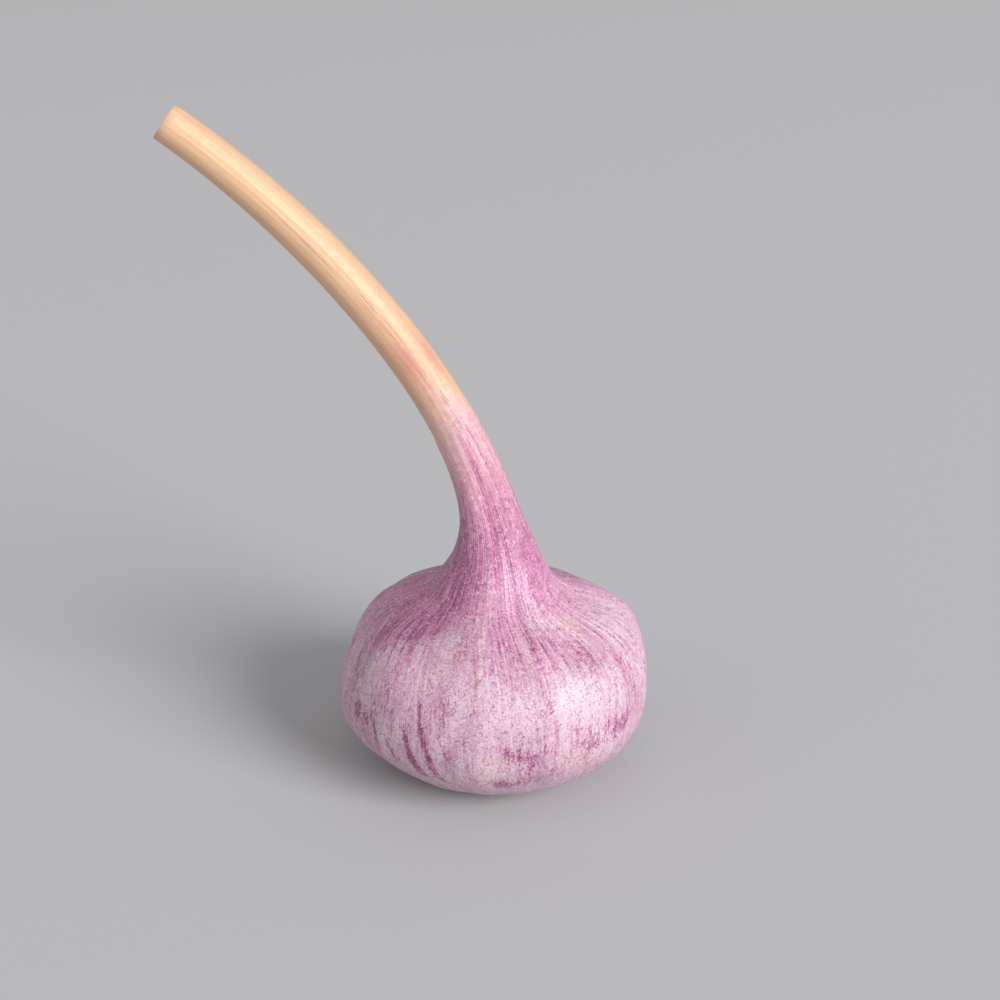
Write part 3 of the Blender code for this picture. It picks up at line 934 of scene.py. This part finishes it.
STROKES = patches(
    (-23.5, 22, 1.0, 5, 1.0, -0.85),
    (-29.5, 30, 0.9, 3, 0.5, -0.5),
    (-32.3, 23.2, 1.1, 3.4, 1.0, -1.0),
    (-28.5, 19.5, 1.3, 1.6, 0.9, -1.2),
    (-25.5, 17.6, 1.2, 1.2, 0.7, -1.0),
    (-19.5, 17.6, 1.2, 1.2, 0.7, -1.0),
    (-40, 20.5, 0.9, 2.4, 0.9, -1.2),
    (-47.8, 21.8, 1.1, 2.8, 0.8, -0.9),
    (-56, 23.5, 3.5, 2, 0.65, -1.0),
    (-60.5, 24.5, 1.4, 1.3, 1.0),
    (-17, 22.5, 1.0, 3.4, 0.5, -0.9),
    (-20, 29.5, 1.0, 3.4, 0.6, -0.3),
    (-23, 33, 1.4, 2.4, 0.5),
    (-16.5, 32, 1.1, 1.1, 0.7),
    (-9, 31.5, 1, 1, 0.6),
    (20, 32, 1.4, 1.5, 0.7),
    (3.2, 25.6, 1.2, 1.2, 0.45),
    (4.6, 24, 1.5, 0.8, 0.5),
    (11, 23.6, 4.2, 1.4, 0.66),
    (8, 24.4, 1.2, 1, 0.3),
    (5, 20.8, 2, 1, 0.6),
    (12.5, 20.6, 1.2, 1.5, 0.4),
    (18.5, 24, 0.9, 3, 0.42),
    (14.5, 21, 1.0, 2, 0.6),
    (22.5, 21, 0.9, 2.5, 0.5),
    (-8.5, 20.5, 1.3, 0.9, 0.6),
    (3.6, 17.0, 3, 1.1, 1.05),
    (11.5, 17.3, 3, 0.9, 0.55),
    (20, 17.7, 2.6, 0.8, 0.45),
    (33.5, 25, 1.5, 2.2, 0.5),
    (39, 22.9, 3.4, 1.4, 0.68),
    (36.5, 27, 1.0, 2, 0.4),
    (45, 27.2, 1.3, 2.4, 0.6),
    (54, 24.8, 3.8, 1.8, 0.75),
    (49, 25, 1.2, 2.4, 0.6),
    (59, 27, 1.5, 2, 0.5),
    (40, 27.5, 0.9, 2.2, 0.6),
)
STRIPE_PATCHES = patches(
    (-62, 36, 14, 9, 0.8),
    (-34, 24, 12, 6, 0.4),
    (12, 42, 16, 5, 0.6),
    (50, 44, 22, 7, 1.0),
    (66, 34, 9, 9, 0.7),
    (30, 27, 30, 5, 0.3),
    (0, 62, 60, 8, 0.6),
    (165, 40, 40, 9, 0.7),
    (-130, 30, 30, 9, 0.5),
)
CREAM_PATCHES = patches(
    (-1, 21.5, 7, 2.6, 0.5),
    (31, 20.5, 6, 2.6, 0.45),
    (50, 20, 6, 2.4, 0.35),
    (51, 47, 8, 2.4, 0.4),
    (-42, 23, 3, 3, 0.3),
    (-57, 23, 5, 3, 0.4),
    (-34, 37, 6, 5, 0.3),
    (-23, 41, 3, 5, 0.2),
    (-14, 49, 8, 3, 0.2),
    (-10, 38.5, 1.8, 5, 0.5),
    (17, 46, 4, 3, 0.4),
    (-56, 38, 8, 6, -0.3),
    (-33, 54, 9, 4, -0.4),
    (45, 60, 12, 4, -0.3),
    (6, 31, 5, 8, -0.15),
    (48, 34, 7, 6, -0.25),
    (74, 40, 8, 4, -0.15),
    (-16, 23, 3, 3, -0.2),
    (16, 35, 3, 5, 0.35),
    (66, 26, 6, 4, 0.25),
    (-16, 18.5, 3, 1.5, 0.3),
    (140, 19, 16, 3, 0.5),
    (-120, 18, 14, 3, 0.5),
    (-170, 30, 12, 4, 0.25),
)
FLUSH_PATCHES = patches(
    (6, 101.5, 14, 2.6, 0.6),
    (58, 100.5, 12, 2.2, 0.55),
    (8, 92, 16, 4, 0.40),
    (-18, 102, 14, 6, 0.25),
    (-2, 113, 14, 5, 0.35),
    (64, 122, 12, 30, 0.30),
    (62, 158, 30, 3, 0.35),
    (-150, 96, 25, 4, 0.5),
    (140, 88, 25, 4, 0.4),
)
CRACK_PATCHES = patches(
    (27, 82, 13, 6, 1.0),
    (24, 94, 11, 5, 1.0),
    (14, 107, 9, 5, 0.9),
    (18, 116, 6, 3, 0.8),
    (4, 128, 6, 4, 0.8),
    (-160, 92, 20, 8, 0.7),
)
# Painted light and shade, with some tone, on the skin: positive rows lighten and negative rows
# darken. They paint lit bulges and a lit ring on the upper shoulders, shade near the standing rim,
# lighter rims on the back shoulders, and darker and lighter tone.
PAINTED_LIGHT_AND_TONE_PATCHES = patches(
    (-40, 35, 8, 4, 0.30),
    (-45, 34, 6, 4, 0.12),
    (-36, 27, 3, 3.5, 0.08),
    (-19, 44, 6, 5, -0.14),
    (-22, 31, 3.5, 6, -0.11),
    (-19, 21, 5, 2.6, -0.22),
    (-14.5, 20, 2.5, 3, -0.12),
    (-26.5, 19.5, 2.5, 2, -0.12),
    (-48, 22, 2.5, 3, -0.12),
    (-57, 24, 3, 2.5, -0.10),
    (15, 37, 4.5, 5, -0.14),
    (16, 28, 3.5, 4, -0.12),
    (14.5, 20, 5, 3, -0.12),
    (18, 17.5, 9, 2, -0.16),
    (0, 18, 14, 1.5, -0.07),
    (36, 17, 10, 2, -0.16),
    (38, 33, 16, 8, -0.07),
    (38, 38.5, 8, 2.5, -0.12),
    (5, 47, 14, 4, 0.10),
    (50, 48, 20, 4, 0.10),
    (21, 42, 3, 3, 0.12),
    (43, 46, 7, 3, 0.10),
    (8, 48, 5, 2.5, 0.08),
    (-8, 34, 2, 5, 0.09),
    (108, 49, 16, 6, 0.10),
    (-55, 47, 9, 3, -0.10),
    (-48, 41, 6, 2.2, -0.18),
    (-30, 52, 8, 5, -0.08),
    (-68, 33, 4, 6, -0.12),
    (-9, 47, 2.6, 8, 0.13),
    (-1.5, 50, 3, 4, -0.05),
    (100, 44, 14, 6, 0.08),
    (82, 35, 4, 6, 0.08),
    (-61, 51, 7, 3, -0.07),
    (-33.5, 26.5, 1.3, 4, 0.09),
    (20.5, 30, 1.5, 4, 0.10),
    (11, 26, 3, 1.5, -0.08),
    (-10, 22.5, 1.5, 2, 0.08),
    (1, 17.5, 3, 1, -0.08),
    (-53, 38, 5, 3, -0.10),
    (-56, 31.5, 3, 3, -0.08),
    (-25, 49, 6, 4, -0.08),
    (23.5, 50, 3.5, 4.5, -0.10),
    (19.5, 39.5, 2, 2.5, 0.12),
    (12, 37, 4, 2.5, -0.05),
    (72, 36, 4, 3, -0.10),
    (59, 34, 2.5, 4, -0.06),
    (48, 17.5, 8, 2, -0.14),
    (104, 53, 14, 3, 0.18),
    (118, 46, 10, 4, 0.12),
    (-98, 52, 14, 3, 0.16),
    (-46, 58, 12, 5, 0.16),
    (-1, 62, 6, 6, 0.20),
    (10, 72, 5, 3, 0.10),
    (50, 63, 7, 4, 0.08),
    (-66, 24, 4, 3, -0.06),
    (-20, 70, 20, 6, 0.24),
    (-9, 71, 7, 4, 0.12),
    (-75, 46, 14, 4, -0.05),
    # Painted light and shade on the stem: a lighter left edge, a painted highlight strip and a
    # darker right edge.
    (-66, 122, 14, 40, 0.12),
    (32, 125, 7, 28, 0.05),
    (60, 125, 10, 28, -0.06),
    (88, 125, 14, 28, -0.12),
)


HIDDEN_STROKES = 26
HIDDEN_STROKES_SEED = 5
# The least and most of each field of a hidden stroke, in the order of the patch's fields.
HIDDEN_STROKE_RANGES = ((82, 285), (18, 32), (0.9, 1.8), (1.5, 4.5), (0.5, 1.0), (-0.8, 0.2))


def hidden_strokes() -> tuple[Patch, ...]:
    """Scatters more purple strokes over the bulb's sides and back."""
    chance = random.Random(HIDDEN_STROKES_SEED)
    return patches(
        *([chance.uniform(*ends) for ends in HIDDEN_STROKE_RANGES] for _ in range(HIDDEN_STROKES))
    )


@dataclass
class RootPlate:
    """The root plate under the bulb, with the stubs of its trimmed roots."""

    name: str = "root_plate_dressed"
    node: str = "root_plate"
    slot: str = "dry_root"
    radius: float = 8.0 * MM
    scar_radius: float = 3.2 * MM
    stubs: int = 120
    stub_radius: float = 0.36 * MM
    stub_top: float = 2.1 * MM
    stub_splay: float = math.radians(18)
    stub_sides: int = 8
    steps: int = 96
    crease: float = math.radians(50)
    seed: int = 11

    def plate(self, bm: bmesh.types.BMesh) -> None:
        """Turns the plate about the bulb's axis and roughens its underside."""
        outline = [
            (0.0, 2.6), (5.0, 2.6), (7.5, 2.6), (7.9, 2.4), (8.0, 2.2), (7.85, 2.0), (7.6, 1.85),
            (6.8, 1.6), (6.0, 1.35), (5.0, 0.95), (4.1, 0.55), (3.6, 0.25), (3.4, 0.1),
            (3.2, 0.02), (2.4, 0.06), (1.6, 0.1), (0.8, 0.12), (0.0, 0.12),
        ]
        verts = [bm.verts.new((radius * MM, 0, height * MM)) for radius, height in outline]
        edges = [bm.edges.new(pair) for pair in zip(verts, verts[1:])]
        bmesh.ops.spin(
            bm,
            geom=verts + edges,
            axis=(0, 0, 1),
            cent=(0, 0, 0),
            angle=math.tau,
            steps=self.steps,
            use_merge=True,
        )
        bmesh.ops.remove_doubles(bm, verts=bm.verts[:], dist=0.001 * MM)
        for vert in bm.verts:
            if vert.co.z < 2.3 * MM:
                lumps = noise.noise(vert.co / (0.8 * MM)) + 0.5 * noise.noise(vert.co / (0.3 * MM))
                vert.co.z = max(vert.co.z + 0.09 * MM * lumps, 0.01 * MM)

    def stub(self, bm: bmesh.types.BMesh, index: int, chance: random.Random) -> None:
        """Adds one trimmed root, sunk into the plate and bent a little outwards."""
        inner = self.scar_radius + 0.5 * MM
        outer = self.radius - 1.1 * MM
        reach = inner + (outer - inner) * math.sqrt((index + 0.5) / self.stubs)
        angle = index * math.pi * (3 - math.sqrt(5)) + chance.uniform(-0.1, 0.1)
        end = chance.uniform(0.15, 0.75) * MM
        splay = self.stub_splay * reach / self.radius
        length = (self.stub_top - end) / math.cos(splay)
        width = self.stub_radius * chance.uniform(0.75, 1.3)
        made = bmesh.ops.create_cone(
            bm,
            cap_ends=True,
            segments=self.stub_sides,
            radius1=width * 0.8,
            radius2=width * 1.15,
            depth=length,
        )["verts"]
        bottom = [vert for vert in made if vert.co.z < 0]
        faces = {face for vert in bottom for face in vert.link_faces}
        caps = {face for face in faces if len(face.verts) == self.stub_sides}
        rims = bmesh.ops.inset_region(
            bm, faces=list(caps), thickness=width * 0.3, depth=-width * 0.25
        )["faces"]
        made = list({vert for face in [*caps, *rims] for vert in face.verts} | set(made))
        bmesh.ops.translate(bm, verts=made, vec=(0, 0, -length / 2))
        turned = Matrix.Rotation(angle, 3, "Z") @ Matrix.Rotation(-splay, 3, "Y")
        bmesh.ops.rotate(bm, verts=made, cent=(0, 0, 0), matrix=turned)
        spot = Vector((reach * math.cos(angle), reach * math.sin(angle), self.stub_top))
        bmesh.ops.translate(bm, verts=made, vec=spot)

    def build(self) -> bpy.types.Object:
        """Makes the plate and its roots in one piece."""
        bm = bmesh.new()
        self.plate(bm)
        chance = random.Random(self.seed)
        for index in range(self.stubs):
            self.stub(bm, index, chance)
        bmesh.ops.recalc_face_normals(bm, faces=bm.faces[:])
        mesh = bpy.data.meshes.new(self.name)
        bm.to_mesh(mesh)
        bm.free()
        mesh.shade_smooth()
        mesh.set_sharp_from_angle(angle=self.crease)
        return add_object(self.name, mesh)

    def dress(self, piece: bpy.types.Object, finish: bpy.types.Material) -> None:
        """Gives the roots their finish and lets them stand for the solid plate."""
        piece.data.materials.append(finish)
        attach(piece, ROOT_BODY)
        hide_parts(self.node)


@dataclass(frozen=True)
class Lamp:
    """A round lamp: its azimuth, height and apparent width in degrees, and its strength."""

    name: str
    azimuth: float
    height: float
    width: float
    strength: float


@dataclass
class Studio:
    """The pale floor, the soft light and the camera."""

    floor_size: float = 12.0
    floor_colour: Colour = (0.470, 0.469, 0.481)
    sky_colour: Colour = (1.0, 0.99, 1.0)
    sky_strength: float = 0.49
    lamps: tuple[Lamp, ...] = (
        Lamp("key", 49.0, 24.0, 34.0, 4.3),
        Lamp("fill", -58.0, 16.0, 60.0, 0.5),
    )
    lamp_distance: float = 15.0
    camera_place: tuple[float, float, float] = (1.0 * MM, -311.0 * MM, 186.1 * MM)
    camera_pitch: float = math.radians(67)
    camera_lens: float = 65.0
    camera_sensor: float = 36.0
    camera_clip: float = 0.01

    def floor(self) -> None:
        """Lays the floor just under the bulb."""
        bm = bmesh.new()
        bmesh.ops.create_grid(bm, x_segments=1, y_segments=1, size=self.floor_size / 2)
        mesh = bpy.data.meshes.new("studio_floor")
        bm.to_mesh(mesh)
        bm.free()
        graph = Graph("studio_floor")
        graph.shader.inputs["Base Color"].default_value = (*self.floor_colour, 1)
        graph.shader.inputs["Roughness"].default_value = 0.9
        graph.shader.inputs["Specular IOR Level"].default_value = 0.1
        mesh.materials.append(graph.material)
        floor = add_object("studio_floor", mesh)

    def light(self) -> None:
        """Sets an even sky and hangs the lamps."""
        world = bpy.data.worlds.new("studio_sky")
        world.use_nodes = True
        sky = world.node_tree.nodes["Background"]
        sky.inputs["Color"].default_value = (*self.sky_colour, 1)
        sky.inputs["Strength"].default_value = self.sky_strength
        bpy.context.scene.world = world
        for lamp in self.lamps:
            self.hang(lamp)

    def hang(self, lamp: Lamp) -> None:
        """Hangs a round lamp that faces the bulb.

        Args:
            lamp: Where it is, how wide it looks, and how strongly it lights the bulb.
        """
        disk = bpy.data.lights.new(lamp.name, "AREA")
        disk.shape = "DISK"
        disk.size = 2 * self.lamp_distance * math.tan(math.radians(lamp.width / 2))
        disk.energy = math.pi * self.lamp_distance**2 * lamp.strength
        turn, height = math.radians(lamp.azimuth), math.radians(lamp.height)
        source = Vector(
            (
                math.sin(turn) * math.cos(height),
                -math.cos(turn) * math.cos(height),
                math.sin(height),
            )
        )
        hung = add_object(lamp.name, disk)
        hung.location = source * self.lamp_distance
        hung.visible_camera = False
        hung.rotation_euler = source.to_track_quat("Z", "Y").to_euler()

    def camera(self) -> None:
        """Sets the camera in front of the bulb, looking a little down on it."""
        data = bpy.data.cameras.new("camera")
        data.lens = self.camera_lens
        data.sensor_width = self.camera_sensor
        data.clip_start = self.camera_clip
        camera = add_object("camera", data)
        camera.location = self.camera_place
        camera.rotation_euler = (self.camera_pitch, 0, 0)
        bpy.context.scene.camera = camera
        bpy.context.scene.view_settings.view_transform = "Standard"

    def build(self) -> None:
        """Sets up the whole studio."""
        self.camera()
        self.floor()
        self.light()


def main() -> None:
    """Builds the studio and every piece."""
    logging.basicConfig(level=logging.INFO, format="%(name)s: %(message)s")
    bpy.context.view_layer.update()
    Studio().build()
    dressed = (
        (GarlicSkin(), SkinFinish()),
        (RootPlate(), RootFinish()),
    )
    for part, finish in dressed:
        piece = part.build()
        part.dress(piece, finish.build())
        LOG.info("%s: %d faces", piece.name, len(piece.data.polygons))


if __name__ == "__main__":
    main()
